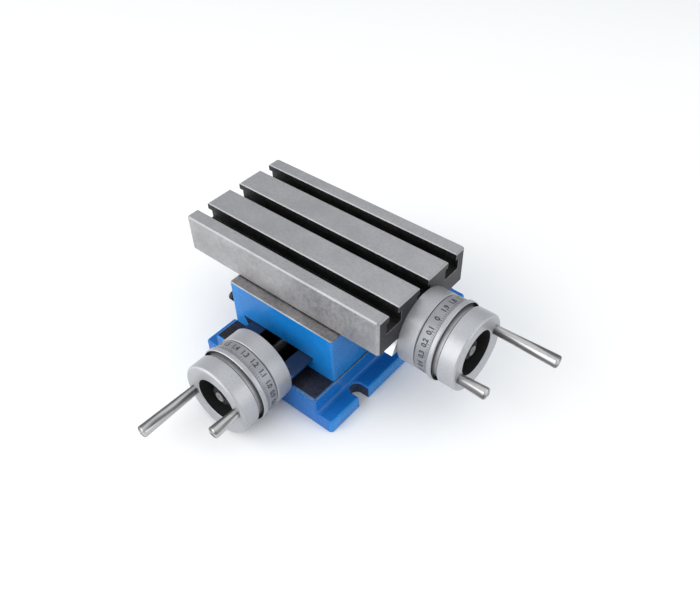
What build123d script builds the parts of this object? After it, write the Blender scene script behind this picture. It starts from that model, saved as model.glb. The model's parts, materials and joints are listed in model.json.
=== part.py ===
from build123d import *
import os
from math import cos, radians, sin, sqrt, tan

# Cross slide table: a slotted table slides left and right on a saddle, and the saddle slides
# front to back on a cast base. Each slide has a leadscrew with a dial and a handwheel.
# Millimetres. Origin: centre of the base's underside. +X points to the table's handwheel,
# +Y away from the operator of the cross slide, +Z up.

# Table
table_length = 200.0
table_width = 108.4
table_height = 34.0
table_corner = 3.0
table_edge_break = 1.3
slot_count = 3
slot_pitch = 36.5
slot_mouth = 11.0
slot_lip = 6.2
slot_channel_width = 17.4
slot_channel_height = 10.2
slot_edge_break = 0.9
table_rail_width = 75.5
table_rail_height = 12.5
table_channel_width = 34.0
table_channel_height = 18.0
table_stands_at = -9.35

# Saddle
saddle_width = 108.7
saddle_length = 128.0
saddle_height = 45.0
saddle_corner = 2.0
saddle_stands_at = -6.0

# Base
base_length = 186.0
base_height = 28.0
base_corner = 3.0
way_width = 111.2
way_edge_break = 1.0
flange_reach = 15.6
flange_height = 12.0
flange_edge = 2.0
flange_root = 4.0
base_rail_width = 67.0
base_rail_height = 12.5
base_channel_width = 36.0
base_floor = 10.0
mount_slot_width = 11.6
mount_slot_web = 2.5
mount_slot_spacing = 106.4
pocket_depth = 14.0
pocket_width = 25.0
pocket_length = 74.0
pocket_corner = 6.0
rib_width = 12.0

# Slideways
dovetail_angle = 60.0
slide_gap = 0.05
root_relief = 0.8
gib_thickness = 8.0
edge_break = 0.7

# Leadscrews and the bearing housing that carries each of them
thread_pitch = 2.0
screw_radius = 5.0
cross_screw_above_way = 6.0
table_screw_below_table = 7.0
cross_screw_length = 176.0
table_screw_length = 175.0
journal_radius = 6.0
collar_radius = 10.5
collar_thickness = 3.0
thrust_washer = 1.5
running_gap = 0.05
end_play = 0.1
housing_radius = 31.9
housing_length = 14.8
bearing_length = 6.2
rear_bore_radius = 12.0
front_bore_radius = 13.0

# Dial
dial_radius = 31.8
dial_length = 11.2
dial_rim_radius = 33.3
dial_rim_length = 5.0
dial_lip = 1.0
dial_cup_depth = 3.4
dial_seat_radius = 20.0
dial_gap = 0.3

# Handwheel
wheel_radius = 31.8
wheel_length = 22.4
wheel_neck_radius = 29.5
wheel_neck_length = 6.9
wheel_shoulder = 2.2
wheel_recess_radius = 18.8
wheel_recess_depth = 15.5
wheel_dish = 0.8
wheel_key = 3.0
wheel_key_length = 14.0
handle_circle = 24.0
handle_tip_radius = 5.0
handle_root_radius = 3.75
handle_spigot_radius = 3.0
handle_spigot_length = 12.0
handle_round = 1.6
long_handle = 52.3
short_handle = 23.3
press_gap = 0.01
cross_handle_angle = 190.5
table_handle_angle = 17.0
spring_thickness = 0.5
spring_width = 6.0
spring_half_angle = 32.0

# Nuts on the leadscrews
nut_width = 31.0
nut_length = 20.0
nut_below_screw = 9.0
nut_above_table_screw = 7.0
nut_seat = 5.0

# Fasteners: radius of the thread, radius and height of the head, hexagon across flats
m5_radius = 2.5
m5_head_radius = 4.25
m5_head = 5.0
m5_key = 4.0
m6_radius = 3.0
m6_head_radius = 5.0
m6_head = 6.0
m6_key = 5.0
m6_nut_flats = 10.0
m6_nut = 5.0
m10_nut_flats = 16.0
m10_nut = 8.0
m10_washer_radius = 9.5
m10_washer = 1.5
thread_gap = 0.05
nut_screw_spacing = 20.6
nut_screw_bite = 5.5
housing_screw_circle = 25.6
housing_screw_tilt = 27.0
housing_screw_bite = 14.0
gib_screw_count = 3
cross_gib_screw_from_lock = 13.0
table_gib_screw_from_lock = 11.35
gib_screw_stand_off = 8.0
gib_screw_level = 8.0
gib_dimple = 1.5
lock_screw_stand_off = 17.0
lock_screw_from_end = 13.0
lock_screw_level = 10.5
socket_depth = 3.0

# Heights and places that follow from the sizes above
lean = tan(radians(dovetail_angle))
flank_gap = slide_gap / sin(radians(dovetail_angle))
gib_across = gib_thickness / sin(radians(dovetail_angle)) + flank_gap
way_level = base_height
base_width = way_width + 2 * flange_reach
mount_slot_depth = flange_reach - mount_slot_web
saddle_bottom = way_level + slide_gap
saddle_top = saddle_bottom + saddle_height
table_bottom = saddle_top + slide_gap
table_top = table_bottom + table_height
cross_axis_z = way_level + cross_screw_above_way
table_axis_z = table_bottom - table_screw_below_table
base_front = -base_length / 2
saddle_front = saddle_stands_at - saddle_length / 2
saddle_back = saddle_stands_at + saddle_length / 2
table_end = table_stands_at + table_length / 2
cross_gib_screw_reach = saddle_length / 2 - lock_screw_from_end - cross_gib_screw_from_lock
table_gib_screw_reach = saddle_width / 2 - lock_screw_from_end - table_gib_screw_from_lock
cross_gib_screw_spacing = 2 * cross_gib_screw_reach / (gib_screw_count - 1)
table_gib_screw_spacing = 2 * table_gib_screw_reach / (gib_screw_count - 1)
saddle_roof = way_level + base_rail_height + root_relief
saddle_floor = table_bottom - table_rail_height - root_relief
hub_face = housing_length - (housing_length - bearing_length) / 2 + thrust_washer + end_play
rear_bore = (housing_length - bearing_length) / 2
dial_back = housing_length + dial_gap
dial_front = dial_back + dial_length + dial_rim_length
dial_cup = dial_front - dial_cup_depth
wheel_back = dial_cup + dial_gap
wheel_face = wheel_back + wheel_length
recess_floor = wheel_face - wheel_recess_depth

# Where each feed unit stands: local x to its operator's right, y up, z out towards the operator
cross_feed_plane = Plane(origin=(0, base_front, cross_axis_z), x_dir=(1, 0, 0), z_dir=(0, -1, 0))
table_feed_origin = (table_end, saddle_stands_at, table_axis_z)
table_feed_plane = Plane(origin=table_feed_origin, x_dir=(0, 1, 0), z_dir=(1, 0, 0))


# Shapes used by several parts
def bar(plane, points, length):
    """A straight bar along a plane's normal, whose outline is given as points on the plane."""
    return extrude(plane * Polygon(*points, align=None), amount=length, dir=plane.z_dir)


def bar_along_y(points, y_from, y_to):
    """A straight bar whose outline is given as (x, z) points."""
    return bar(Plane(origin=(0, y_to, 0), x_dir=(1, 0, 0), z_dir=(0, -1, 0)), points, y_to - y_from)


def bar_along_x(points, x_from, x_to):
    """A straight bar whose outline is given as (y, z) points."""
    return bar(Plane(origin=(x_from, 0, 0), x_dir=(0, 1, 0), z_dir=(1, 0, 0)), points, x_to - x_from)


def block(x_from, x_to, y_from, y_to, z_from, z_to):
    """A box between two corners."""
    middle = ((x_from + x_to) / 2, (y_from + y_to) / 2, (z_from + z_to) / 2)
    return Pos(*middle) * Box(x_to - x_from, y_to - y_from, z_to - z_from)


def turned(points):
    """A solid turned about local z from (radius, z) points."""
    return revolve(Plane.XZ * Polygon(*points, align=None), axis=Axis.Z)


def rod(radius, z_from, z_to):
    """A round rod on local z between two heights."""
    return Pos(0, 0, (z_from + z_to) / 2) * Cylinder(radius, z_to - z_from)


def tube(outer, inner, z_from, z_to):
    """A plain ring on local z between two heights."""
    return rod(outer, z_from, z_to) - rod(inner, z_from, z_to)


def hexagon(flats, z_from, z_to):
    """A hexagonal bar on local z, measured across its flats."""
    return Pos(0, 0, z_from) * extrude(RegularPolygon(flats / sqrt(3), 6), amount=z_to - z_from)


def group(solids):
    """Separate solids that share one part."""
    return Compound([piece for solid in solids for piece in solid.solids()])


def around(angle, radius):
    """A place at an angle on a circle about local z."""
    return Pos(radius * cos(radians(angle)), radius * sin(radians(angle)), 0)


# Dovetails: u runs across the slide, w is the height above the slideway that carries it
def rail_points(width, height):
    """The male dovetail, widest at its tip."""
    root = width / 2 - height / lean
    return [(-root, 0), (-width / 2, height), (width / 2, height), (root, 0)]


def groove_points(width, height):
    """The female dovetail that takes the rail and, on the side where u is negative, its gib."""
    top = height + root_relief
    at_mouth = width / 2 - height / lean + flank_gap
    at_top = at_mouth + top / lean
    over = 1.0 / lean
    gib_side = gib_across + flank_gap
    return [(-at_mouth - gib_side + over, -1.0), (-at_top - gib_side, top),
            (at_top, top), (at_mouth - over, -1.0)]


def gib_points(width, height):
    """The gib strip between the rail's flank and the groove's flank."""
    low, high = 2 * slide_gap + 0.3, height + root_relief - 0.3
    rail_foot = -(width / 2 - height / lean) - flank_gap
    far = gib_across - flank_gap
    return [(rail_foot - low / lean, low), (rail_foot - high / lean, high),
            (rail_foot - far - high / lean, high), (rail_foot - far - low / lean, low)]


def lower_slide(points):
    """Dovetail points as (x, z) of the cross slide, gib to the left."""
    return [(u, way_level + w) for u, w in points]


def upper_slide(points):
    """Dovetail points as (y, z) of the table slide, gib at the back."""
    return [(saddle_stands_at - u, table_bottom - w) for u, w in points]


# Fasteners, head up on local z, with the head's seat at z = 0
def cap_screw(radius, length, head_radius, head, key):
    """A socket head screw."""
    screw = rod(head_radius, 0, head) + rod(radius, -length, 0)
    return screw - hexagon(key, head - socket_depth, head + 1)


def gib_screw_places(gib_place, spacing):
    """Spread the gib screws evenly about the middle of their slide."""
    return [gib_place((i - (gib_screw_count - 1) / 2) * spacing) for i in range(gib_screw_count)]


def cross_gib_place(along, level=gib_screw_level):
    """Local z points out of the saddle's left side. Also how deep the cross gib lies there."""
    place = Plane(origin=(-saddle_width / 2, saddle_stands_at + along, way_level + level),
                  x_dir=(0, 1, 0), z_dir=(-1, 0, 0)).location
    return place, gib_seat_depth(saddle_width / 2, base_rail_width, base_rail_height, level)


def table_gib_place(along, level=gib_screw_level):
    """Local z points out of the saddle's back. Also how deep the table gib lies there."""
    place = Plane(origin=(along, saddle_back, table_bottom - level),
                  x_dir=(1, 0, 0), z_dir=(0, 1, 0)).location
    return place, gib_seat_depth(saddle_length / 2, table_rail_width, table_rail_height, level)


def gib_seat_depth(half_width, rail_width, rail_height, level):
    """How deep under the saddle's side the gib's outer flank lies at a level."""
    foot = rail_width / 2 - rail_height / lean + flank_gap
    return half_width - (foot + gib_across - flank_gap + level / lean)


cross_gib_places = gib_screw_places(cross_gib_place, cross_gib_screw_spacing)
table_gib_places = gib_screw_places(table_gib_place, table_gib_screw_spacing)
cross_lock_place = cross_gib_place(-saddle_length / 2 + lock_screw_from_end, lock_screw_level)
table_lock_place = table_gib_place(saddle_width / 2 - lock_screw_from_end, lock_screw_level)


def gib_screw(seat):
    """A set screw whose plain end stands in the gib's dimple, with a hexagon socket outside."""
    screw = rod(m6_radius, -seat + 2.0, gib_screw_stand_off)
    screw += rod(m6_radius - 1, -seat - gib_dimple, -seat + 2.0)
    return screw - hexagon(m5_key - 1, gib_screw_stand_off - socket_depth, gib_screw_stand_off + 1)


def gib_nut():
    """The lock nut of one gib screw, against the saddle."""
    return hexagon(m6_nut_flats, 0, m6_nut) - rod(m6_radius + thread_gap, -1, m6_nut + 1)


def lock_screw(seat):
    """A longer socket head screw that is turned to clamp the gib."""
    under_head = lock_screw_stand_off - m5_head
    shank = seat + under_head - m5_radius / lean - thread_gap
    return Pos(0, 0, under_head) * cap_screw(m5_radius, shank, m5_head_radius, m5_head, m5_key)


# Castings
def base_casting():
    """The base: ground ways and dovetail on top, flanges with open bolt slots, hollow below."""
    half, flank, channel = base_width / 2, way_width / 2, base_channel_width / 2
    rail = lower_slide(rail_points(base_rail_width, base_rail_height))
    outline = [(-half, 0), (-half, flange_height), (-flank, flange_height), (-flank, way_level),
               *rail[:2], (-channel, rail[1][1]), (-channel, base_floor),
               (channel, base_floor), (channel, rail[2][1]), *rail[2:],
               (flank, way_level), (flank, flange_height), (half, flange_height), (half, 0)]
    base = bar_along_y(outline, base_front, -base_front)
    along = base.edges().filter_by(Axis.Y)
    at_flanks = along.filter_by(lambda e: abs(abs(e.center().X) - flank) < 0.01)
    base = fillet(at_flanks.filter_by(lambda e: e.center().Z < way_level - 1), flange_root)
    uprights = base.edges().filter_by(Axis.Z).filter_by(lambda e: abs(abs(e.center().X) - half) < 0.01)
    base = fillet(uprights, base_corner)
    for side in (0, 180):
        for y in (-mount_slot_spacing / 2, mount_slot_spacing / 2):
            slot = rod(mount_slot_width / 2, -1, flange_height + 1)
            slot += block(0, half, -mount_slot_width / 2, mount_slot_width / 2, -1, flange_height + 1)
            slot = Pos(half - mount_slot_depth + mount_slot_width / 2, y, 0) * slot
            base -= Rot(0, 0, side) * slot
    level = base.edges().filter_by(lambda e: abs(e.center().Z - flange_height) < 0.01)
    brims = level.filter_by(lambda e: abs(e.center().X) > flank + flange_root + 0.5)
    base = fillet(brims, flange_edge)
    way_ends = base.edges().filter_by(Axis.X).filter_by(lambda e: abs(e.center().Z - way_level) < 0.01)
    base = chamfer(way_ends, way_edge_break)
    pocket = extrude(RectangleRounded(pocket_width, pocket_length, pocket_corner), amount=pocket_depth + 1)
    for x in (-1, 1):
        for y in (-1, 1):
            base -= Pos(x * (channel + flank) / 2, y * (pocket_length + rib_width) / 2, -1) * pocket
    for angle in (-housing_screw_tilt, 180 + housing_screw_tilt):
        hole = rod(m6_radius + thread_gap, -housing_screw_bite - 2, 1)
        base -= cross_feed_plane.location * around(angle, housing_screw_circle) * hole
    return base


def saddle_casting():
    """The saddle: a block with a dovetail groove along Y below and another along X on top."""
    half = saddle_width / 2
    saddle = block(-half, half, saddle_front, saddle_back, saddle_bottom, saddle_top)
    saddle = fillet(saddle.edges().filter_by(Axis.Z), saddle_corner)
    saddle = chamfer(saddle.faces().sort_by(Axis.Z)[-1].edges(), edge_break)
    lower_groove = lower_slide(groove_points(base_rail_width, base_rail_height))
    upper_groove = upper_slide(groove_points(table_rail_width, table_rail_height))
    saddle -= bar_along_y(lower_groove, saddle_front - 1, saddle_back + 1)
    saddle -= bar_along_x(upper_groove, -half - 1, half + 1)
    long, short = nut_width / 2 + thread_gap, nut_length / 2 + thread_gap
    y = saddle_stands_at
    saddle -= block(-long, long, y - short, y + short, saddle_roof - 1, saddle_roof + nut_seat)
    saddle -= block(-short, short, y - long, y + long, saddle_floor - nut_seat, saddle_floor + 1)
    for place in cross_nut_screw_places():
        saddle -= place * rod(m5_radius + thread_gap, -cross_nut_reach() - 0.2, 0)
    for place in table_nut_screw_places():
        saddle -= place * rod(m5_radius + thread_gap, -table_nut_reach() - 0.2, 0)
    for place, seat in cross_gib_places + table_gib_places:
        saddle -= place * rod(m6_radius + thread_gap, -seat - 3, 1)
    for place, seat in (cross_lock_place, table_lock_place):
        saddle -= place * rod(m5_radius + thread_gap, -seat - 3, 1)
    return saddle


def table_casting():
    """The slotted table, with its dovetail and the leadscrew's channel underneath."""
    x_from, x_to = table_end - table_length, table_end
    half, y = table_width / 2, saddle_stands_at
    table = block(x_from, x_to, y - half, y + half, table_bottom, table_top)
    table = fillet(table.edges().filter_by(Axis.Z), table_corner)
    for side in (0, -1):
        table = chamfer(table.faces().sort_by(Axis.Z)[side].edges(), table_edge_break)
    mouth, channel = slot_mouth / 2, slot_channel_width / 2
    lip = table_top - slot_lip
    floor = lip - slot_channel_height
    tee = [(-channel, floor), (-channel, lip), (-mouth, lip), (-mouth, table_top + 1),
           (mouth, table_top + 1), (mouth, lip), (channel, lip), (channel, floor)]
    for i in range(slot_count):
        middle = y + (i - (slot_count - 1) / 2) * slot_pitch
        table -= bar_along_x([(middle + u, z) for u, z in tee], x_from - 1, x_to + 1)
    level = table.edges().filter_by(Axis.X).filter_by(lambda e: abs(e.center().Z - table_top) < 0.01)
    mouths = level.filter_by(lambda e: abs(e.center().Y - y) < half - table_edge_break - 0.1)
    table = chamfer(mouths, slot_edge_break)
    table += bar_along_x(upper_slide(rail_points(table_rail_width, table_rail_height)), x_from, x_to)
    side = table_channel_width / 2
    tip = table_bottom - table_rail_height
    table -= block(x_from - 1, x_to + 1, y - side, y + side, tip - 1, tip + table_channel_height)
    for angle in (housing_screw_tilt, 180 - housing_screw_tilt):
        hole = rod(m6_radius + thread_gap, -housing_screw_bite - 2, 1)
        table -= table_feed_plane.location * around(angle, housing_screw_circle) * hole
    return table


def gib(bar_along, points, ends, places):
    """A gib strip as long as the saddle, with a dimple for each of its screws."""
    strip = bar_along(points, *ends)
    for place, seat in places:
        strip -= place * rod(m6_radius - 1 + thread_gap, -seat - gib_dimple - 0.1, 0)
    return strip


# Leadscrew nuts and their screws
def cross_nut_reach():
    """Length of a cross nut screw's shank, from under its head into the saddle."""
    return nut_below_screw - m5_head + saddle_roof - cross_axis_z + nut_seat + nut_screw_bite


def table_nut_reach():
    """Length of a table nut screw's shank."""
    return nut_above_table_screw - m5_head + table_axis_z - saddle_floor + nut_seat + nut_screw_bite


def cross_nut_screw_places():
    """Heads down, under the cross nut."""
    z = cross_axis_z - nut_below_screw + m5_head
    return [Pos(side * nut_screw_spacing / 2, saddle_stands_at, z) * Rot(180, 0, 0) for side in (-1, 1)]


def table_nut_screw_places():
    """Heads up, in the table nut's top."""
    z = table_axis_z + nut_above_table_screw - m5_head
    return [Pos(0, saddle_stands_at + side * nut_screw_spacing / 2, z) for side in (-1, 1)]


def drilled_nut(body, bore, places):
    """A nut block with its leadscrew's bore and counterbored screw holes."""
    body -= bore
    for place in places:
        body -= place * (rod(m5_head_radius + 0.2, 0, m5_head + 1) + rod(m5_radius + 0.2, -60, 0))
    return body


def cross_nut():
    """Hangs from the saddle into the base's channel."""
    across, along, y = nut_width / 2, nut_length / 2, saddle_stands_at
    bottom, top = cross_axis_z - nut_below_screw, saddle_roof + nut_seat
    body = block(-across, across, y - along, y + along, bottom, top)
    bore = cross_feed_plane.location * rod(screw_radius + running_gap, -base_length, 0)
    return drilled_nut(body, bore, cross_nut_screw_places())


def table_nut():
    """Stands up from the saddle into the table's channel."""
    across, along, y = nut_width / 2, nut_length / 2, saddle_stands_at
    bottom, top = saddle_floor - nut_seat, table_axis_z + nut_above_table_screw
    body = block(-along, along, y - across, y + across, bottom, top)
    bore = table_feed_plane.location * rod(screw_radius + running_gap, -table_length, 0)
    return drilled_nut(body, bore, table_nut_screw_places())


def nut_screws(places, reach):
    """The two cap screws that hold a nut on the saddle."""
    screw = cap_screw(m5_radius, reach, m5_head_radius, m5_head, m5_key)
    return group([place * screw for place in places])


# Feed unit, built on local z with the housing's back at z = 0
def housing(tilt):
    """The bearing housing: collar bore behind, thrust bore in front, two counterbored screws."""
    bore, bearing = journal_radius + running_gap, housing_length - rear_bore
    body = turned([(bore, rear_bore), (rear_bore_radius, rear_bore), (rear_bore_radius, 0),
                   (housing_radius, 0), (housing_radius, housing_length - edge_break),
                   (housing_radius - edge_break, housing_length), (front_bore_radius, housing_length),
                   (front_bore_radius, bearing), (bore, bearing)])
    for angle in (tilt, 180 - tilt):
        seat = housing_length - m6_head - 0.5
        hole = rod(m6_radius + 0.2, -1, seat) + rod(m6_head_radius + 0.3, seat, housing_length + 1)
        body -= around(angle, housing_screw_circle) * hole
    return body


def housing_screws(tilt):
    """The two screws that hold the housing."""
    seat = housing_length - m6_head - 0.5
    reach = seat + housing_screw_bite
    screw = Pos(0, 0, seat) * cap_screw(m6_radius, reach, m6_head_radius, m6_head, m6_key)
    return group([around(angle, housing_screw_circle) * screw for angle in (tilt, 180 - tilt)])


def thrust_washers():
    """Bronze washers either side of the housing's bearing, behind it and in front of it."""
    inner = journal_radius + running_gap
    behind = tube(collar_radius, inner, rear_bore - thrust_washer, rear_bore)
    front = housing_length - rear_bore
    return group([behind, tube(collar_radius, inner, front, front + thrust_washer)])


def key_seat(start=wheel_back - wheel_key_length):
    """The key's room, half in the shaft and half in the hub."""
    half = wheel_key / 2
    return block(-half, half, journal_radius - half, journal_radius + half, start, wheel_back)


def leadscrew(length):
    """Thread behind the housing, collar and journal in it, and the wheel's seat in front."""
    collar_front = rear_bore - thrust_washer - end_play
    collar_back = collar_front - collar_thickness
    journal_end = recess_floor - 0.5
    shaft_end = recess_floor + m10_washer + m10_nut + 1.5
    shaft = turned([(0, -length), (screw_radius - 1, -length), (screw_radius, -length + 1),
                    (screw_radius, collar_back), (collar_radius, collar_back),
                    (collar_radius, collar_front), (journal_radius, collar_front),
                    (journal_radius, journal_end), (screw_radius, journal_end),
                    (screw_radius, shaft_end - 1), (screw_radius - 1, shaft_end), (0, shaft_end)])
    return shaft - key_seat()


def dial():
    """The graduated ring, with the plain rim that is gripped to set it to zero, cupped in front."""
    bore = dial_seat_radius + running_gap
    step = dial_back + dial_length
    return turned([(bore, dial_back), (dial_radius - edge_break, dial_back),
                   (dial_radius, dial_back + edge_break), (dial_radius, step),
                   (dial_rim_radius - edge_break, step + 0.4), (dial_rim_radius, step + 1.2),
                   (dial_rim_radius, dial_front - edge_break), (dial_rim_radius - edge_break, dial_front),
                   (dial_rim_radius - dial_lip, dial_front), (dial_rim_radius - dial_lip, dial_cup),
                   (bore, dial_cup)])


def handwheel(angle):
    """A cupped wheel with a rounded rim, on a hub that carries the dial."""
    hub = front_bore_radius - 1.5
    bore = journal_radius + press_gap
    rim_back = wheel_back + wheel_neck_length
    round_back, round_top = wheel_face - wheel_shoulder, wheel_radius - wheel_shoulder
    dished = wheel_face - wheel_dish
    profile = Polyline((bore, recess_floor), (bore, hub_face), (hub, hub_face), (hub, dial_back),
                       (dial_seat_radius, dial_back), (dial_seat_radius, wheel_back),
                       (wheel_neck_radius, wheel_back),
                       (wheel_neck_radius, rim_back), (wheel_radius - edge_break, rim_back),
                       (wheel_radius, rim_back + edge_break), (wheel_radius, round_back))
    shoulder = RadiusArc((wheel_radius, round_back), (round_top, wheel_face), -wheel_shoulder)
    face = Polyline((round_top, wheel_face), (wheel_recess_radius + 1, dished),
                    (wheel_recess_radius, dished - 0.6), (wheel_recess_radius, recess_floor + 3),
                    (wheel_recess_radius - 3, recess_floor), (bore, recess_floor))
    wheel = revolve(Plane.XZ * make_face(Curve() + [profile, shoulder, face]), axis=Axis.Z)
    wheel -= key_seat(hub_face - 1)
    wheel -= spring_strip(spring_thickness + 0.3, 0.2)
    for side in (0, 180):
        hole = rod(handle_spigot_radius + press_gap, wheel_face - handle_spigot_length, wheel_face + 1)
        hole += rod(handle_root_radius + 0.1, dished, wheel_face + 1)
        wheel -= around(angle + side, handle_circle) * hole
    return wheel


def spring_strip(thickness, margin):
    """An arc of spring steel under the dial, in the wheel's hub."""
    outer = dial_seat_radius - running_gap
    z = (dial_back + dial_cup) / 2
    ring = tube(outer, outer - thickness, z - spring_width / 2 - margin, z + spring_width / 2 + margin)
    reach = 2 * outer
    spread = reach * tan(radians(spring_half_angle) + margin / outer)
    points = [(0, 0), (-spread, -reach), (spread, -reach)]
    return ring & bar(Plane(origin=(0, 0, dial_back)), points, dial_cup - dial_back)


def handle(length):
    """A steel handle, thinner at its root, with a spigot pressed into the wheel."""
    root = wheel_face - wheel_dish
    tip = wheel_face + length
    spigot = rod(handle_spigot_radius, wheel_face - handle_spigot_length + 0.5, root)
    profile = Polyline((0, root), (handle_root_radius, root), (handle_tip_radius, tip - handle_round))
    flat = handle_tip_radius - handle_round
    corner = RadiusArc((handle_tip_radius, tip - handle_round), (flat, tip), -handle_round)
    end = Polyline((flat, tip), (0, tip), (0, root))
    return revolve(Plane.XZ * make_face(Curve() + [profile, corner, end]), axis=Axis.Z) + spigot


def wheel_washer():
    """The washer under the wheel's nut."""
    return tube(m10_washer_radius, screw_radius + 0.2, recess_floor, recess_floor + m10_washer)


def wheel_nut():
    """The nut that holds the wheel on its shaft."""
    start = recess_floor + m10_washer
    end = start + m10_nut
    return hexagon(m10_nut_flats, start, end) - rod(screw_radius + thread_gap, start - 1, end + 1)


def feed_unit(name, plane, screw_length, handle_angle, tilt):
    """Every part of one leadscrew with its housing, dial and handwheel."""
    parts = {
        "housing": housing(tilt),
        "housing_screws": housing_screws(tilt),
        "thrust_washers": thrust_washers(),
        "leadscrew": leadscrew(screw_length),
        "dial": dial(),
        "dial_spring": spring_strip(spring_thickness, 0),
        "handwheel": handwheel(handle_angle),
        "wheel_key": key_seat(),
        "wheel_washer": wheel_washer(),
        "wheel_nut": wheel_nut(),
        "long_handle": around(handle_angle, handle_circle) * handle(long_handle),
        "short_handle": around(handle_angle + 180, handle_circle) * handle(short_handle),
    }
    return {name + "_" + part: plane.location * solid for part, solid in parts.items()}


def build_all():
    """Every part of the cross slide table by name."""
    parts = {
        "base_casting": base_casting(),
        "saddle_casting": saddle_casting(),
        "table_casting": table_casting(),
        "cross_gib": gib(bar_along_y, lower_slide(gib_points(base_rail_width, base_rail_height)),
                         (saddle_front + 0.5, saddle_back - 0.5), cross_gib_places),
        "cross_gib_screws": group([place * gib_screw(seat) for place, seat in cross_gib_places]),
        "cross_gib_nuts": group([place * gib_nut() for place, seat in cross_gib_places]),
        "cross_lock_screw": cross_lock_place[0] * lock_screw(cross_lock_place[1]),
        "cross_nut": cross_nut(),
        "cross_nut_screws": nut_screws(cross_nut_screw_places(), cross_nut_reach()),
        "table_gib": gib(bar_along_x, upper_slide(gib_points(table_rail_width, table_rail_height)),
                         (-saddle_width / 2 + 0.5, saddle_width / 2 - 0.5), table_gib_places),
        "table_gib_screws": group([place * gib_screw(seat) for place, seat in table_gib_places]),
        "table_gib_nuts": group([place * gib_nut() for place, seat in table_gib_places]),
        "table_lock_screw": table_lock_place[0] * lock_screw(table_lock_place[1]),
        "table_nut": table_nut(),
        "table_nut_screws": nut_screws(table_nut_screw_places(), table_nut_reach()),
    }
    tilt = housing_screw_tilt
    parts.update(feed_unit("cross", cross_feed_plane, cross_screw_length, cross_handle_angle, -tilt))
    parts.update(feed_unit("table", table_feed_plane, table_screw_length, table_handle_angle, tilt))
    return parts


os.makedirs("parts", exist_ok=True)
for name, solid in build_all().items():
    export_step(solid, os.path.join("parts", name + ".step"))
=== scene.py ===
import json
from math import cos, pi, radians, sin

import bmesh
import bpy
from mathutils import Euler, Matrix, Vector

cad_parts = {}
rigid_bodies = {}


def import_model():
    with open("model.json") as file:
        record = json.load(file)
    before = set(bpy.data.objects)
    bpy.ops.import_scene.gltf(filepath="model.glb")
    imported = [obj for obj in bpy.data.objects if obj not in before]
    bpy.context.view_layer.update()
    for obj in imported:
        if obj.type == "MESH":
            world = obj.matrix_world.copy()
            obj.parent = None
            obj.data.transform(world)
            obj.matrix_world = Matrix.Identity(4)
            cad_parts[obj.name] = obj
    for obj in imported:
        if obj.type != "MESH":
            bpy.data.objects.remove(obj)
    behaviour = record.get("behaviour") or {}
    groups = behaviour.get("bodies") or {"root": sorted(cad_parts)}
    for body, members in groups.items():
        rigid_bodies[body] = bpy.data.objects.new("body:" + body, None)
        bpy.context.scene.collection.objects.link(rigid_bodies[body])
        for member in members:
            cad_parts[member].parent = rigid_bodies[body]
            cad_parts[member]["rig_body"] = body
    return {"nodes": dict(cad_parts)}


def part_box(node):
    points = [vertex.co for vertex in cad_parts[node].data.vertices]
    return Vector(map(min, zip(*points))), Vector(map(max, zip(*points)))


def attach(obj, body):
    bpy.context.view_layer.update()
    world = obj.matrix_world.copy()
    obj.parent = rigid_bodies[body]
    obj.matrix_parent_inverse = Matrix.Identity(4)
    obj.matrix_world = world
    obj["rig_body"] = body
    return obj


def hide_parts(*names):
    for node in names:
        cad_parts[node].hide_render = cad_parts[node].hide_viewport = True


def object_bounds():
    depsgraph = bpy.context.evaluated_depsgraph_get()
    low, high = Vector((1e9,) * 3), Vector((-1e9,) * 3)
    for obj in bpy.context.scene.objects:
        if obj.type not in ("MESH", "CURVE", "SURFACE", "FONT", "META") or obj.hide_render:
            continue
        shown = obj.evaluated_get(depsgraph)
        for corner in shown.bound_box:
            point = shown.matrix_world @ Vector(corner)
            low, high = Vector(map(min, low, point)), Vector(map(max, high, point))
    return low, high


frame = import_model()
cad_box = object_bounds()

MM = 0.001
UP = (0, 0, 1)

# Camera, worked out from the photograph's corners and rims
CAMERA_PLACE = (0.30289, -0.33513, 0.46449)
CAMERA_ANGLES = (45.998, 1.138, 39.747)
CAMERA_LENS = 37.22
CAMERA_SENSOR = 36
CAMERA_NEAR = 0.01

# Floor and studio light: each soft box has its name, place, size and power
FLOOR_HALF = 6
FLOOR_GAP = 0.0002
STUDIO_COLOUR = (0.95, 0.98, 1.0)
STUDIO_STRENGTH = 0.66
LIGHT_AIM = (0, 0, 0.05)
LIGHTS = (("key", (-0.65, -1.3, 0.75), (2.2, 1.6), 27),
          ("top", (0.1, 0.25, 1.4), (1.6, 1.6), 5),
          ("side", (1.3, 0.35, 0.55), (1.2, 0.9), 6))

# Feed units, in mm. Places along the leadscrew are counted out from the housing's back face
PITCH, THREAD_DEPTH = 2.0, 1.1
SCREW_RADIUS = 5.0
JOURNAL_RADIUS = 6.0
JOURNAL_SHORT = 1.9
COLLAR_RADIUS, COLLAR_BACK, COLLAR_FRONT, COLLAR_BREAK = 10.5, -0.3, 2.7, 0.4
THREAD_INTO_COLLAR = 1.5
TIP_PITCH, TIP_DEPTH, TIP_INTO_JOURNAL, TIP_SHORT = 1.5, 0.7, 2, 0.3
# Rings of the centre hole's end cap: radius, and place counted from the shaft's front
CENTRE_HOLE = ((4.2, -1.5), (4.2, -0.3), (3.9, 0), (2.0, 0), (0.6, -2.4))
DIAL_RADIUS = 31.8
DIAL_BORE = 21
DIAL_STEP = 26.3
# DIAL_CUP, NECK_END and NECK_EDGE also bound painted shade: in the dial's cup, on the handwheel's neck and
# behind its rim
DIAL_CUP = 27.9
NECK_END = 35.0
NECK_EDGE = 0.8
# RECESS_RADIUS and RECESS_EDGE also bound the painted shade in the handwheel's recess
RECESS_RADIUS = 19.0
RECESS_EDGE = 49.3

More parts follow.
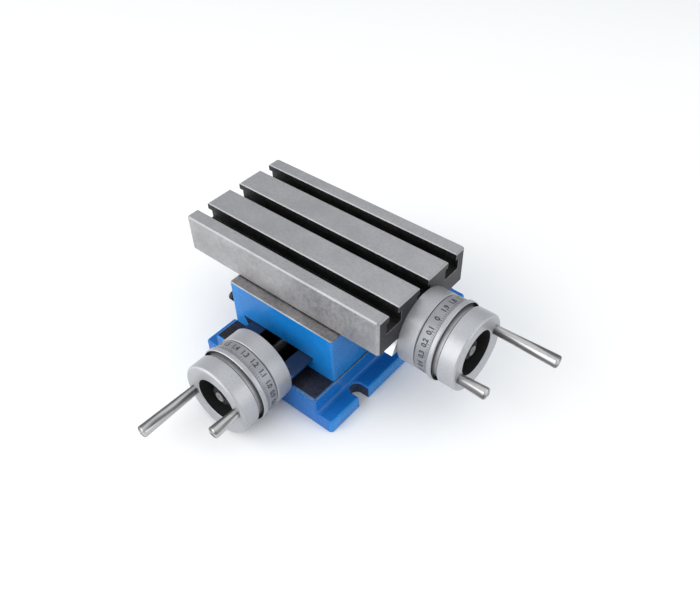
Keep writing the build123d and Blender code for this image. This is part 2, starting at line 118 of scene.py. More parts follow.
# Marks on the dials, in mm. A tick is given by half its width and by where it begins
LABELS = 20
LABEL_HEIGHT, FONT_SCALE = 4.5, 1.38
LABEL_NARROW = 0.86
LABEL_STROKE = 0.24
TICKS, TICKS_A_LABEL = 100, 5
LONG_TICK, SHORT_TICK = (0.22, 23.9), (0.16, 24.4)
TICK_END = 25.7
MARK_DEPTH = 0.03

# Fasteners, in mm
BORE_GAP = 0.05
M10_NUT_FLATS = 16.0
M6_RADIUS, M6_PITCH, M6_DEPTH = 3.0, 1.0, 0.5
M6_NUT_FLATS, M6_NUT = 10.0, 5.0
SET_KEY, SET_SOCKET, SET_BREAK = 3.0, 2.5, 0.6
M5_RADIUS, M5_PITCH, M5_DEPTH = 2.5, 0.8, 0.45
M5_HEAD_RADIUS, M5_HEAD, M5_KEY, M5_SOCKET, M5_BREAK = 4.25, 5.0, 4.0, 3.0, 0.5
KEY_BREAK = 0.25
NUT_FACE, NUT_CROWN = 0.97, 0.25
KNURLS, KNURL_DEPTH = 36, 0.16
GIB_STAND_OFF, GIB_INSIDE = 8.0, 4
LOCK_STAND_OFF, LOCK_INSIDE = 17.0, 8
GIB_SPACING = {"cross": 38.0, "table": 30.0}

# Steps round a piece, and a thread's outline: share of the pitch, with 0 at its root and 1 at its crest
TURNED_STEPS, SMALL_STEPS, THREAD_STEPS = 72, 48, 24
THREAD_OUTLINE = ((0.0, 0), (0.34, 0), (0.5, 1), (0.84, 1))

# Broken edges: the least angle that counts as sharp, in degrees, and the steps across the break
SHARP_ANGLE = 32
BREAK_STEPS = 2

# Castings, in mm: limits that tell their faces apart
TOUCH = 0.05
TABLE_EDGE = 1.4
TABLE_FOOT = 32.5
SLOT_DEPTH = 16.7
SLOT_REACH = 46.0
RAIL_SHOWS = 0.3
SADDLE_EDGE = 1.0
SADDLE_WALL = 5.2
WAY_LEVEL = 28.0
WAY_EDGE = 1.1
RAIL_LEVEL = 40.0
CHANNEL_HALF = 18.0
CHANNEL_FLOOR = 10.0
MOUNT_SLOT, MOUNT_SLOT_HALF = 53.2, 6
FLANGE_SIDE, FLANGE_EDGE = 0.5, 2.1

# How far the noise of a turned piece moves on for each radian round it, in metres
RADIAN_LENGTH = 0.004


# Materials
class Look:
    """A procedural material: a base finish with layers of noise over it.
    about is the axis and the centre of a turned piece, whose noise then runs round it."""

    def __init__(self, name, colour, metallic=0.0, roughness=0.5, shine=0.5, about=None):
        self.material = bpy.data.materials.new(name)
        self.material.use_nodes = True
        self.tree = self.material.node_tree
        self.shader = self.tree.nodes["Principled BSDF"]
        self.shader.inputs["Base Color"].default_value = (*colour, 1)
        self.shader.inputs["Metallic"].default_value = metallic
        self.shader.inputs["Roughness"].default_value = roughness
        self.shader.inputs["Specular IOR Level"].default_value = shine
        self.colour, self.roughness = colour, roughness
        self.tint = self.rough = self.bump = None
        self.place = self.add("ShaderNodeTexCoord").outputs["Object"]
        if about:
            self.place = self.round_the_axis(*about)

    def add(self, kind, **values):
        node = self.tree.nodes.new(kind)
        for key, value in values.items():
            setattr(node, key, value)
        return node

    def link(self, source, target):
        self.tree.links.new(source, target)

    def math(self, operation, first, second=0.0):
        node = self.add("ShaderNodeMath", operation=operation)
        for socket, value in zip(node.inputs, (first, second)):
            if isinstance(value, (int, float)):
                socket.default_value = value
            else:
                self.link(value, socket)
        return node.outputs[0]

    def round_the_axis(self, axis, centre):
        """Coordinates of a turned piece: distance from its axis, distance along it, and its angle."""
        parts = self.add("ShaderNodeSeparateXYZ")
        self.link(self.place, parts.inputs[0])
        across = [i for i in range(3) if i != axis]
        a, b = (self.math("SUBTRACT", parts.outputs[i], centre[i]) for i in across)
        squares = [self.math("MULTIPLY", value, value) for value in (a, b)]
        distance = self.math("SQRT", self.math("ADD", *squares))
        angle = self.math("ARCTAN2", a, b)
        out = self.add("ShaderNodeCombineXYZ")
        self.link(distance, out.inputs[0])
        self.link(parts.outputs[axis], out.inputs[1])
        self.link(self.math("MULTIPLY", angle, RADIAN_LENGTH), out.inputs[2])
        return out.outputs[0]

    def layer(self, scale, stretch=(1, 1, 1), detail=3.0, low=0.3, high=0.7,
              tint=None, rough=None, bump=None):
        """Noise of a size in 1/m that changes the tint, the roughness and the surface's height in mm."""
        mapping = self.add("ShaderNodeMapping")
        mapping.inputs["Scale"].default_value = stretch
        self.link(self.place, mapping.inputs["Vector"])
        noise = self.add("ShaderNodeTexNoise")
        noise.inputs["Scale"].default_value = scale
        noise.inputs["Detail"].default_value = detail
        self.link(mapping.outputs[0], noise.inputs["Vector"])
        value = noise.outputs["Fac"]
        if tint:
            grey = self.ranged(value, low, high, *tint)
            mix = self.add("ShaderNodeMix", data_type="RGBA", blend_type="MULTIPLY")
            mix.inputs["Factor"].default_value = 1.0
            first, second = [s for s in mix.inputs if s.type == "RGBA"]
            if self.tint is None:
                first.default_value = (*self.colour, 1)
            else:
                self.link(self.tint, first)
            self.link(grey, second)
            self.tint = [s for s in mix.outputs if s.type == "RGBA"][0]
        if rough:
            change = self.ranged(value, low, high, *rough)
            before = self.roughness if self.rough is None else self.rough
            self.rough = self.math("ADD", before, change)
        if bump:
            node = self.add("ShaderNodeBump")
            node.inputs["Strength"].default_value = 1.0
            node.inputs["Distance"].default_value = bump * MM
            self.link(value, node.inputs["Height"])
            if self.bump is not None:
                self.link(self.bump, node.inputs["Normal"])
            self.bump = node.outputs[0]

    def ranged(self, value, low, high, start, end):
        node = self.add("ShaderNodeMapRange")
        for key, number in (("From Min", low), ("From Max", high), ("To Min", start), ("To Max", end)):
            node.inputs[key].default_value = number
        self.link(value, node.inputs["Value"])
        return node.outputs[0]

    def done(self):
        for socket, key in ((self.tint, "Base Color"), (self.rough, "Roughness"), (self.bump, "Normal")):
            if socket is not None:
                self.link(socket, self.shader.inputs[key])
        return self.material


def iron(name, colour, roughness, grind=(1, 12, 12), mottle=0.12):
    """Ground cast iron: mottled, with fine grinding lines along one way."""
    look = Look(name, colour, metallic=0.9, roughness=roughness)
    look.layer(45, detail=5, tint=(1 - mottle, 1 + mottle))
    look.layer(420, detail=2, tint=(1 - mottle, 1 + mottle), rough=(-0.05, 0.08), bump=0.02)
    look.layer(240, stretch=grind, detail=2, tint=(0.96, 1.04), rough=(-0.03, 0.03), bump=0.012)
    return look.done()


def paint(name, colour, roughness=0.25):
    """Gloss enamel over a casting, with the casting's slight waves under it."""
    look = Look(name, colour, roughness=roughness, shine=0.3)
    look.layer(28, detail=2, tint=(0.86, 1.14), rough=(-0.03, 0.05), bump=0.35)
    look.layer(260, detail=2, bump=0.035)
    look.layer(900, detail=1, bump=0.008, rough=(-0.02, 0.02))
    return look.done()


def turned_metal(name, colour, roughness, about, line=0.012):
    """Satin turned aluminium: fine lines round its axis and a fine grain."""
    look = Look(name, colour, metallic=0.55, roughness=roughness, about=about)
    look.layer(2600, stretch=(1, 1, 0.6), detail=1, rough=(-0.05, 0.05), tint=(0.97, 1.03), bump=line)
    look.layer(60, stretch=(1, 1, 3), detail=2, tint=(0.97, 1.03), rough=(-0.03, 0.04))
    look.layer(1000, stretch=(1, 1, 7.5), detail=2, tint=(0.92, 1.08), rough=(-0.03, 0.03))
    return look.done()


def bright(name, colour, roughness, about=None):
    """Drawn or ground steel and bronze. Where an axis is given, light and dark streaks along its length are
    a painted reflection.
    """
    look = Look(name, colour, metallic=0.85, roughness=roughness, about=about)
    if about:
        # Painted reflection: light and dark streaks that run along the piece and change round it
        look.layer(230, stretch=(0, 0.05, 1), detail=2, low=0.44, high=0.54,
                   tint=(0.35, 1.15), rough=(0.1, -0.02))
    look.layer(300, detail=3, tint=(0.94, 1.05), rough=(-0.04, 0.06))
    look.layer(1400, detail=1, bump=0.004)
    return look.done()


def plain(name, colour, metallic, roughness, shine=0.5):
    """Small dark pieces: black oxide, oil-darkened iron and fill, and dark looks that stand for painted
    shade.
    """
    look = Look(name, colour, metallic=metallic, roughness=roughness, shine=shine)
    look.layer(380, detail=3, tint=(0.8, 1.25), rough=(-0.08, 0.1), bump=0.01)
    return look.done()


# Mesh helpers
def piece(name, solid, body, looks, replaces=(), smooth=True, weighted=True):
    """A new mesh piece, from points in metres and faces, that rides on a body."""
    points, faces = solid
    mesh = bpy.data.meshes.new(name)
    mesh.from_pydata([Vector(v) for v in points], [], faces)
    mesh.update()
    return settle(mesh, name, body, looks, replaces, smooth, weighted)


def settle(mesh, name, body, looks, replaces=(), smooth=True, weighted=True):
    """Links a mesh as a piece, with its materials, shading and body."""
    for look in looks:
        mesh.materials.append(look)
    mesh.polygons.foreach_set("use_smooth", [smooth] * len(mesh.polygons))
    obj = bpy.data.objects.new(name, mesh)
    bpy.context.scene.collection.objects.link(obj)
    if weighted:
        normals = obj.modifiers.new("normals", "WEIGHTED_NORMAL")
        normals.weight = 50
        normals.keep_sharp = False
    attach(obj, body)
    if replaces:
        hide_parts(*replaces)
    return obj


def dress(node, looks, pick=None, edges=None, width=0.25):
    """A copy of a CAD solid with its sharp edges broken, which stands for the solid.
    pick gives a face's look from its centre in mm and its normal. A broken edge takes the look
    beside it, or what edges gives for that look."""
    source = frame["nodes"][node]
    shape = bmesh.new()
    shape.from_mesh(source.data)
    bmesh.ops.remove_doubles(shape, verts=shape.verts, dist=1e-6)
    bmesh.ops.dissolve_limit(shape, angle_limit=radians(0.5), verts=shape.verts, edges=shape.edges)
    broken = len(looks)
    for face in shape.faces:
        face.material_index = pick(face.calc_center_median() / MM, face.normal) if pick else 0
    lines = [e for e in shape.edges if e.is_manifold and e.calc_face_angle(0) > radians(SHARP_ANGLE)]
    bmesh.ops.bevel(shape, geom=lines, offset=width * MM, offset_type="OFFSET", segments=BREAK_STEPS,
                    profile=0.5, affect="EDGES", clamp_overlap=False, material=broken)
    shape.faces.ensure_lookup_table()
    chosen = {}
    for face in shape.faces:
        if face.material_index == broken:
            near = [f.material_index for e in face.edges for f in e.link_faces]
            beside = [look for look in near if look != broken]
            chosen[face.index] = (edges or {}).get(beside[0], beside[0]) if beside else 0
    for index, look in chosen.items():
        shape.faces[index].material_index = look
    bmesh.ops.triangulate(shape, faces=[f for f in shape.faces if len(f.verts) > 4])
    mesh = bpy.data.meshes.new(node + "_dressed")
    shape.to_mesh(mesh)
    shape.free()
    return settle(mesh, node + "_dressed", source["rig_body"], looks, [node])


def plane(origin, right, up):
    """A local frame in mm: x to the right, y up and z out of the surface."""
    right, up = Vector(right), Vector(up)
    out = right.cross(up)
    turn = Matrix((right, up, out)).transposed().to_4x4()
    return Matrix.Translation(Vector(origin)) @ turn


def to_metres(place, points):
    """Local points in mm to the scene's metres."""
    return [(place @ Vector(p)) * MM for p in points]


def reach(kind, radius, turn):
    """The outline's radius at a turn: round, knurled, or a hexagon given by half its width across flats."""
    if kind == "hex":
        return radius / cos(turn % (pi / 3) - pi / 6)
    if kind == "knurl":
        return radius - KNURL_DEPTH * (round(turn / (2 * pi) * KNURLS * 2) % 2)
    return radius


def ring(radius, along, kind="round", slope=0):
    """One ring of a turned solid. A slope lowers its corners, as on a nut's crown."""
    return radius, along, kind, slope


def turned(place, rings, steps=TURNED_STEPS):
    """Points and faces of a solid turned about local z. Its first and last ring close on the axis."""
    points, faces = [(0, 0, rings[0][1])], []
    for radius, along, kind, slope in (ring(*values) for values in rings):
        for i in range(steps):
            turn = 2 * pi * i / steps
            r = reach(kind, radius, turn)
            points.append((r * cos(turn), r * sin(turn), along - slope * (r - radius)))
    points.append((0, 0, rings[-1][1]))
    last = len(points) - 1
    for i in range(steps):
        j = (i + 1) % steps
        faces.append((0, 1 + j, 1 + i))
        for k in range(len(rings) - 1):
            a, b = 1 + k * steps, 1 + (k + 1) * steps
            faces.append((a + i, a + j, b + j, b + i))
        a = 1 + (len(rings) - 1) * steps
        faces.append((a + i, a + j, last))
    return to_metres(place, points), faces


def thread(place, start, end, outer, depth, pitch, left=False):
    """A threaded rod on local z with a trapezoid thread, closed at both ends."""
    step = len(THREAD_OUTLINE)
    rows = (int((end - start) / pitch) - 1) * step
    points = []
    for k in range(rows + step + 1):
        share, crest = THREAD_OUTLINE[k % step]
        radius = outer if crest else outer - depth
        for i in range(THREAD_STEPS):
            turn = 2 * pi * i / THREAD_STEPS
            along = start + (k // step + share + i / THREAD_STEPS) * pitch
            points.append((radius * cos(turn), radius * (-sin(turn) if left else sin(turn)), along))
    faces = []
    for k in range(rows):
        for i in range(THREAD_STEPS):
            a, b = k * THREAD_STEPS + i, (k + 1) * THREAD_STEPS + i
            c, d = a + 1, b + 1
            if i == THREAD_STEPS - 1:
                c, d = (k + step) * THREAD_STEPS, (k + 1 + step) * THREAD_STEPS
            faces.append((a, c, d, b))
    back = range(step, 0, -1)
    low = list(range(THREAD_STEPS)) + [k * THREAD_STEPS for k in back]
    high = [rows * THREAD_STEPS + i for i in range(THREAD_STEPS)] + [(rows + k) * THREAD_STEPS for k in back]
    faces += [tuple(low[::-1]), tuple(high)]
    if left:
        faces = [f[::-1] for f in faces]
    return to_metres(place, points), faces


def joined(*solids):
    """Several point and face lists as one."""
    points, faces = [], []
    for more_points, more_faces in solids:
        first = len(points)
        points += more_points
        faces += [tuple(first + i for i in face) for face in more_faces]
    return points, faces


def cleaned(obj):
    """Drops unused points of a piece and turns its faces outwards."""
    shape = bmesh.new()
    shape.from_mesh(obj.data)
    bmesh.ops.delete(shape, geom=[v for v in shape.verts if not v.link_faces], context="VERTS")
    bmesh.ops.recalc_face_normals(shape, faces=shape.faces)
    shape.to_mesh(obj.data)
    shape.free()
    return obj


# Fasteners, with the surface that they stand on at local z = 0
def nut(place, base, flats, height, radius, steps=TURNED_STEPS):
    """A hexagon nut with crowned ends, for a thread of this radius."""
    half, bore, top = flats / 2, radius + BORE_GAP, base + height
    return turned(place, [(bore, base), (half * NUT_FACE, base), (half, base + NUT_CROWN, "hex", -0.5),
                          (half, top - NUT_CROWN, "hex", 0.5), (half * NUT_FACE, top), (bore, top)], steps)


def set_screw(place):
    """A gib's set screw outside the saddle, with the hexagon socket in its end."""
    top, key, core = GIB_STAND_OFF, SET_KEY / 2, M6_RADIUS - SET_BREAK
    end = [(core, top - 1.2), (core, top), (key + 0.2, top), (key, top - 0.2, "hex"),
           (key, top - SET_SOCKET, "hex"), (key - 0.4, top - SET_SOCKET - 0.1)]
    return joined(thread(place, -GIB_INSIDE, top - 0.4, M6_RADIUS, M6_DEPTH, M6_PITCH),
                  turned(place, end, SMALL_STEPS))


def lock_screw(place):
    """A slide's lock screw outside the saddle, with a knurled socket head."""
    base, key, wide = LOCK_STAND_OFF - M5_HEAD, M5_KEY / 2, M5_HEAD_RADIUS
    top = base + M5_HEAD
    head = [(M5_RADIUS - 0.4, base), (wide, base, "knurl"), (wide, top - M5_BREAK, "knurl"),
            (wide - M5_BREAK, top), (key + KEY_BREAK, top), (key, top - KEY_BREAK, "hex"),
            (key, top - M5_SOCKET, "hex"), (key - 0.6, top - M5_SOCKET - 0.1)]
    return joined(turned(place, head),
                  thread(place, -LOCK_INSIDE, base + 0.6, M5_RADIUS, M5_DEPTH, M5_PITCH))


# Places of what is copied several times, read from the solids
def box_mm(node):
    low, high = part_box(node)
    return low / MM, high / MM


def middle_mm(node):
    low, high = box_mm(node)
    return (low + high) / 2


def feed_place(name):
    """The housing's back centre, with z out towards the operator."""
    low, high = box_mm(name + "_housing")
    middle = (low + high) / 2
    if name == "cross":
        return plane((middle.x, high.y, middle.z), (1, 0, 0), UP)
    return plane((low.x, middle.y, middle.z), (0, 1, 0), UP)


# Each feed's place, its axis, the angle of its 0, how far along its numbers stand, and its thread's hand
FEEDS = {"cross": (feed_place("cross"), 1, -155.6, 20.2, True),
         "table": (feed_place("table"), 0, 114.6, 21.6, False)}

# Looks
blue = paint("blue_paint", (0.008, 0.16, 0.47))
# Lighter blue: painted highlight on the paint's broken edges, the left way's chamfer and the flanges' outer
# sides
blue_highlight = paint("blue_paint_painted_highlight", (0.012, 0.19, 0.53))
blue_deep = paint("blue_paint_base", (0.008, 0.128, 0.43))
iron_top = iron("iron_top", (0.43, 0.425, 0.44), 0.42, mottle=0.07)
iron_side = iron("iron_side", (0.38, 0.375, 0.385), 0.5, grind=(2, 1, 14))
iron_edge = iron("iron_edge", (0.31, 0.31, 0.32), 0.48, mottle=0.08)
iron_rim = iron("iron_rim", (0.3, 0.295, 0.29), 0.5, mottle=0.25)
# Near black iron: painted shade in the table's T-slots and painted contact shadow on its lower edges
iron_slot_painted_shade = iron("iron_slot_painted_shade", (0.05, 0.049, 0.05), 0.5, mottle=0.25)
# Dark iron: painted shade on the table's end faces
iron_end_painted_shade = iron("iron_end_painted_shade", (0.075, 0.073, 0.08), 0.5, mottle=0.2)
iron_strip = iron("iron_strip", (0.25, 0.24, 0.24), 0.45, mottle=0.2)
iron_way = iron("iron_way", (0.055, 0.053, 0.064), 0.4, grind=(12, 1, 12), mottle=0.25)
# Dark bluish iron: painted shade on the right way's chamfer beside the saddle
way_edge_painted_shade = iron("way_edge_painted_shade", (0.11, 0.165, 0.235), 0.5, mottle=0.25)
# Near black: the leadscrew with oil on it, and painted shade in the base's channel
oiled_and_shade = plain("oiled_iron_and_painted_shade", (0.012, 0.012, 0.014), 0.5, 0.3)
# Dark blue: painted reflection of the saddle and painted shade on the rail tops, painted shade on the
# hold-down slots' walls
dark_blue_painted_reflection_and_shade = paint("rail_painted_reflection_and_shade", (0.012, 0.03, 0.075), 0.22)
steel_ground = bright("steel_ground", (0.5, 0.5, 0.51), 0.32)
black = plain("black_oxide", (0.022, 0.022, 0.024), 0.6, 0.42)
# Near black: painted shade in the handwheel's recess
recess_painted_shade = plain("recess_dark_painted_shade", (0.014, 0.014, 0.015), 0.3, 0.6)
# Dark grey: painted shade in the dial's bore and cup, and on the edge behind the handwheel's rim
cup_painted_shade = plain("cup_shade", (0.035, 0.035, 0.038), 0.4, 0.55)
# A black nut and washer, made darker still as painted shade in the recess
nut_black_and_shade = plain("nut_black_and_painted_shade", (0.012, 0.012, 0.014), 0.0, 0.6, shine=0.15)
shaft_end = plain("shaft_end", (0.2, 0.19, 0.195), 0.4, 0.45)
bronze = bright("bronze_machined", (0.55, 0.36, 0.13), 0.33)
mark = plain("mark_fill", (0.03, 0.03, 0.035), 0.0, 0.55)

# Castings
table_high = box_mm("table_casting")[1]
saddle_low, saddle_high = box_mm("saddle_casting")
base_high = box_mm("base_casting")[1]
table_middle = middle_mm("table_casting").y


def rising(normal):
    """Whether a face slopes upwards, as a chamfer does."""
    return 0.3 < normal.z < 0.95


def table_face(centre, normal):
    """Looks: 0 top, 1 sides, 2 upper edges, 3 painted shade in the T-slots and painted contact shadow
    on the lower edges, 4 ground dovetail, 5 ends, darker as painted shade.
    """
    depth = table_high.z - centre.z
    beside = abs(centre.y - table_middle)
    if abs(depth) < TOUCH:
        return 0
    if depth < TABLE_EDGE and rising(normal):
        return 2
    # Lower edges: painted contact shadow
    if depth > TABLE_FOOT and rising(-normal) and beside > SLOT_REACH:
        return 3
    # T-slot walls and floors: painted shade
    if depth < SLOT_DEPTH and abs(normal.x) < 0.5 and beside < SLOT_REACH:
        return 3
    if centre.z < saddle_high.z - RAIL_SHOWS:
        return 4
    # End faces: darker as painted shade
    return 5 if abs(normal.x) > 0.9 else 1


def saddle_face(centre, normal):
    """Looks: 0 paint on the outer walls, 1 ground top, 2 machined dovetails, 3 the top's chamfer.
    Look 4, lighter blue as a painted highlight, is for the paint's broken edges alone."""
    if centre.z > saddle_high.z - TOUCH:
        return 1
    if centre.z > saddle_high.z - SADDLE_EDGE and rising(normal):
        return 3
    inside = min(saddle_high.x - abs(centre.x), centre.y - saddle_low.y, saddle_high.y - centre.y)
    return 0 if abs(normal.z) < 0.2 and inside < SADDLE_WALL else 2


def base_face(centre, normal):
    """Looks: 0 paint, 1 machined ways, 2 painted highlight on edges, the left way's chamfer and the flanges'
    outer sides, 3 painted shade on the right way's chamfer, 4 painted shade in the channel, 5 painted
    reflection and shade on the rail tops, and painted shade on the walls of the hold-down slots."""
    # The channel: near black as painted shade
    if abs(centre.x) < CHANNEL_HALF + TOUCH and abs(normal.y) < 0.5 and centre.z > CHANNEL_FLOOR - TOUCH:
        return 4
    # Rail tops: dark blue as painted reflection and shade
    if centre.z > RAIL_LEVEL:
        return 5
    # The ways' edge chamfers: painted shade on the right one, painted highlight on the left one
    if rising(normal) and centre.z > WAY_LEVEL - WAY_EDGE:
        return 3 if centre.x > 0 else 2
    # Walls of the hold-down slots: dark blue as painted shade
    in_slot = abs(abs(centre.y) - MOUNT_SLOT) < MOUNT_SLOT_HALF and abs(centre.x) < base_high.x - FLANGE_SIDE
    if in_slot and abs(normal.z) < 0.3:
        return 5
    # The flanges' outer sides and rounded edges: lighter blue as painted highlight
    if abs(centre.x) > base_high.x - FLANGE_EDGE:
        return 2
    return 1 if centre.z > WAY_LEVEL - TOUCH and abs(normal.y) < 0.5 else 0


dress("table_casting", [iron_top, iron_side, iron_edge, iron_slot_painted_shade, steel_ground, iron_end_painted_shade], table_face,
      edges={0: 2, 1: 2, 5: 1}, width=0.22)
dress("saddle_casting", [blue, iron_strip, iron_way, iron_rim, blue_highlight], saddle_face,
      edges={0: 4}, width=0.35)
dress("base_casting", [blue_deep, iron_way, blue_highlight, way_edge_painted_shade, oiled_and_shade, dark_blue_painted_reflection_and_shade], base_face,
      edges={0: 2, 1: 0}, width=0.5)
for gib in ("cross_gib", "table_gib"):
    dress(gib, [iron_way], width=0.15)


# Feed units
def dress_feed(unit, place, axis):
    """Housing, handwheel, dial, handles and small pieces of one feed unit."""
    about = (axis, place.translation * MM)
    satin = turned_metal(unit + "_satin", (0.4, 0.405, 0.425), 0.42, about)
    cast = turned_metal(unit + "_housing_satin", (0.38, 0.385, 0.405), 0.42, about)
    band = turned_metal(unit + "_dial_satin", (0.27, 0.275, 0.295), 0.42, about, line=0.008)
    # Darker satin on the neck: painted shade in the gap behind the dial
    neck = turned_metal(unit + "_neck_satin_painted_shade", (0.34, 0.34, 0.355), 0.45, about)
    out = place.to_3x3() @ Vector(UP)

    def split(point):
        """How far along the shaft a point lies, and the arm from the axis to it."""
        arm = point - place.translation
        along = arm.dot(out)
        return along, arm - out * along

    def wheel_face(point, normal):
        """Looks: 0 satin, 1 painted shade in the recess, 2 neck, darker satin as painted shade, 3 painted
        shade on the edge behind the rim.
        """
        along, arm = split(point)
        if arm.length < RECESS_RADIUS and along < RECESS_EDGE:
            return 1
        if NECK_END < along < NECK_END + NECK_EDGE and normal.dot(out) < -0.3:
            return 3
        return 2 if along < NECK_END else 0

    def dial_face(point, normal):
        """Looks: 0 graduated band, 1 plain rim, 2 painted shade in the bore and the cup in front."""
        along, arm = split(point)
        inward = normal.dot(arm) < -0.5 * arm.length
        if arm.length < DIAL_BORE or inward or (along < DIAL_CUP + 0.5 and normal.dot(out) > 0.5):
            return 2
        return 1 if along > DIAL_STEP - 0.1 else 0

    dress(unit + "_housing", [cast], width=0.3)
    dress(unit + "_handwheel", [satin, recess_painted_shade, neck, cup_painted_shade], wheel_face, width=0.3)
    dress(unit + "_dial", [band, cast, cup_painted_shade], dial_face, width=0.2)
    for handle in ("_long_handle", "_short_handle"):
        # Handle steel, with painted reflection streaks along it
        steel = bright(unit + handle, (0.4, 0.395, 0.4), 0.36, (axis, middle_mm(unit + handle) * MM))
        dress(unit + handle, [steel], width=0.15)
    dress(unit + "_wheel_washer", [nut_black_and_shade], width=0.15)
    dress(unit + "_nut", [bronze], width=0.3)
    dress(unit + "_thrust_washers", [bronze], width=0.1)
    for node in ("_dial_spring", "_wheel_key"):
        frame["nodes"][unit + node].data.materials.clear()
        frame["nodes"][unit + node].data.materials.append(steel_ground)
    for node in ("_housing_screws", "_nut_screws"):
        dress(unit + node, [black], width=0.2)


def add_shaft(unit, place, left):
    """The nut in the wheel's recess, and the leadscrew with its collar, journal, threads and centre hole."""
    out = place.to_3x3() @ Vector(UP)

    def span(node):
        """Where a node begins and ends along the shaft."""
        return sorted((corner - place.translation).dot(out) for corner in box_mm(unit + node))

    start, end = span("_wheel_nut")
    cleaned(piece(unit + "_wheel_nut_dressed", nut(place, start, M10_NUT_FLATS, end - start, SCREW_RADIUS),
                  unit + "_screw", [nut_black_and_shade], [unit + "_wheel_nut"]))
    back, front = span("_leadscrew")
    journal_end = start - JOURNAL_SHORT
    rod = thread(place, back, COLLAR_BACK + THREAD_INTO_COLLAR, SCREW_RADIUS, THREAD_DEPTH, PITCH, left)
    shaft = turned(place, [(COLLAR_RADIUS - COLLAR_BREAK, COLLAR_BACK),
                           (COLLAR_RADIUS, COLLAR_BACK + COLLAR_BREAK),
                           (COLLAR_RADIUS, COLLAR_FRONT - COLLAR_BREAK),
                           (COLLAR_RADIUS - COLLAR_BREAK, COLLAR_FRONT),
                           (JOURNAL_RADIUS, COLLAR_FRONT), (JOURNAL_RADIUS, journal_end)])
    tip = thread(place, journal_end - TIP_INTO_JOURNAL, front - TIP_SHORT, SCREW_RADIUS,
                 TIP_DEPTH, TIP_PITCH)
    centre_hole = turned(place, [(radius, front + along) for radius, along in CENTRE_HOLE])
    screw = piece(unit + "_leadscrew_dressed", joined(rod, shaft, tip, centre_hole),
                  unit + "_screw", [oiled_and_shade, shaft_end], [unit + "_leadscrew"], weighted=False)
    for face in screw.data.polygons[-len(tip[1] + centre_hole[1]):]:
        face.material_index = 1
    cleaned(screw)


def label_mesh(body):
    """A thin mesh of one number, in mm, centred on its origin."""
    text = bpy.data.curves.new("label", "FONT")
    text.body = body
    text.size = LABEL_HEIGHT * FONT_SCALE
    text.align_x, text.align_y = "CENTER", "CENTER"
    text.extrude = MARK_DEPTH
    text.offset = LABEL_STROKE
    text.resolution_u = 3
    holder = bpy.data.objects.new("label", text)
    bpy.context.scene.collection.objects.link(holder)
    bpy.context.view_layer.update()
    flat = bpy.data.meshes.new_from_object(holder.evaluated_get(bpy.context.evaluated_depsgraph_get()))
    bpy.data.objects.remove(holder)
    bpy.data.curves.remove(text)
    return flat


def add_marks(unit, place, first_label, label_along):
    """Graduations and numbers, wrapped round the dial's band."""
    points, faces = [], []
    for n in range(LABELS):
        flat = label_mesh("0" if n == 0 else "%.1f" % (n / 10))
        first = len(points)
        middle = radians(first_label + n * 360 / LABELS)
        for v in flat.vertices:
            turn = middle - v.co.x * LABEL_NARROW / DIAL_RADIUS
            r = DIAL_RADIUS + v.co.z
            points.append((r * cos(turn), r * sin(turn), label_along - v.co.y))
        faces += [tuple(first + i for i in p.vertices) for p in flat.polygons]
        bpy.data.meshes.remove(flat)
    for n in range(TICKS):
        middle = radians(first_label + n * 360 / TICKS)
        half, inner = SHORT_TICK if n % TICKS_A_LABEL else LONG_TICK
        first = len(points)
        for r in (DIAL_RADIUS - MARK_DEPTH, DIAL_RADIUS + MARK_DEPTH):
            for side, s in ((-half, inner), (half, inner), (half, TICK_END), (-half, TICK_END)):
                turn = middle + side / DIAL_RADIUS
                points.append((r * cos(turn), r * sin(turn), s))
        faces += [tuple(first + i for i in f) for f in
                  ((0, 3, 2, 1), (4, 5, 6, 7), (0, 1, 5, 4), (1, 2, 6, 5), (2, 3, 7, 6), (3, 0, 4, 7))]
    marks = cleaned(piece(unit + "_dial_marks", (to_metres(place, points), faces), unit + "_dial", [mark],
                          smooth=False, weighted=False))


for unit, (place, axis, first_label, label_along, left) in FEEDS.items():
    dress_feed(unit, place, axis)
    add_shaft(unit, place, left)
    add_marks(unit, place, first_label, label_along)


# Gib screws, their nuts and the lock screws
def on_wall(unit, seat, along, level):
    """A frame on the saddle's left wall for the cross slide, or on its back wall for the table."""
    if unit == "cross":
        return plane((seat, along, level), (0, -1, 0), UP)
    return plane((along, seat, level), (-1, 0, 0), UP)


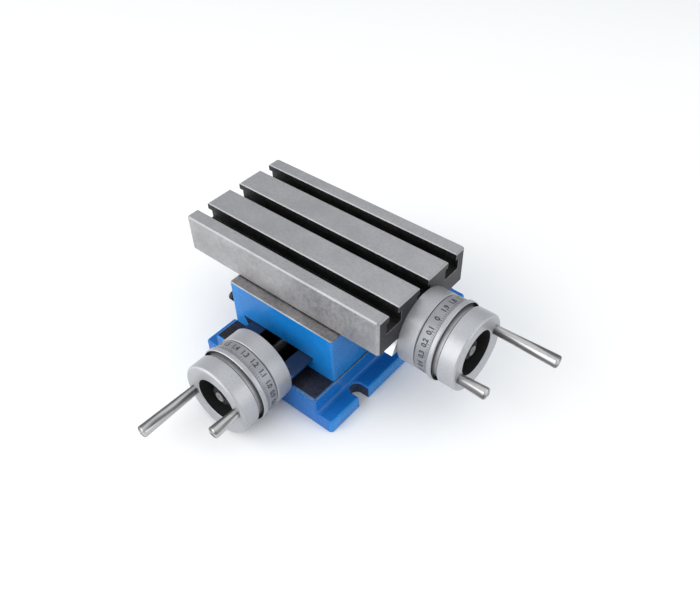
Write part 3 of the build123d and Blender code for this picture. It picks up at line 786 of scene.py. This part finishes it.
for unit, row, lock_seat in (("cross", 1, saddle_low.x), ("table", 0, saddle_high.y)):
    nuts_low, nuts_high = box_mm(unit + "_gib_nuts")
    middle = (nuts_low + nuts_high) / 2
    seat = nuts_high.x if unit == "cross" else nuts_low.y
    places = [on_wall(unit, seat, middle[row] + i * GIB_SPACING[unit], middle.z) for i in (-1, 0, 1)]
    nuts = [nut(place, 0, M6_NUT_FLATS, M6_NUT, M6_RADIUS, SMALL_STEPS) for place in places]
    cleaned(piece(unit + "_gib_nuts_dressed", joined(*nuts), "saddle", [black], [unit + "_gib_nuts"]))
    screws = [set_screw(place) for place in places]
    cleaned(piece(unit + "_gib_screws_dressed", joined(*screws), "saddle", [black], [unit + "_gib_screws"],
                  weighted=False))
    middle = middle_mm(unit + "_lock_screw")
    screw = lock_screw(on_wall(unit, lock_seat, middle[row], middle.z))
    cleaned(piece(unit + "_lock_screw_dressed", screw, unit + "_lock", [black], [unit + "_lock_screw"],
                  weighted=False))

# Floor, light and camera
floor_mesh = bpy.data.meshes.new("floor")
floor_corners = [(x * FLOOR_HALF, y * FLOOR_HALF, 0) for x, y in ((-1, -1), (1, -1), (1, 1), (-1, 1))]
floor_mesh.from_pydata(floor_corners, [], [(0, 1, 2, 3)])
floor = bpy.data.objects.new("floor", floor_mesh)
bpy.context.scene.collection.objects.link(floor)
floor.location.z = cad_box[0][2] - FLOOR_GAP
floor_mesh.materials.append(Look("floor_look", (0.93, 0.93, 0.93), roughness=0.9, shine=0.0).done())

world = bpy.data.worlds.new("studio")
bpy.context.scene.world = world
world.use_nodes = True
world.node_tree.nodes["Background"].inputs["Color"].default_value = (*STUDIO_COLOUR, 1)
world.node_tree.nodes["Background"].inputs["Strength"].default_value = STUDIO_STRENGTH

for name, place, size, power in LIGHTS:
    light = bpy.data.lights.new(name, "AREA")
    light.shape = "RECTANGLE"
    light.size, light.size_y = size
    light.energy = power
    lamp = bpy.data.objects.new(name, light)
    bpy.context.scene.collection.objects.link(lamp)
    lamp.location = place
    lamp.rotation_euler = (Vector(LIGHT_AIM) - Vector(place)).to_track_quat("-Z", "Y").to_euler()

camera_data = bpy.data.cameras.new("camera")
camera_data.lens = CAMERA_LENS
camera_data.sensor_width = CAMERA_SENSOR
camera_data.clip_start = CAMERA_NEAR
camera = bpy.data.objects.new("camera", camera_data)
bpy.context.scene.collection.objects.link(camera)
camera.location = CAMERA_PLACE
camera.rotation_euler = Euler([radians(a) for a in CAMERA_ANGLES])
bpy.context.scene.camera = camera
bpy.context.scene.view_settings.view_transform = "Standard"
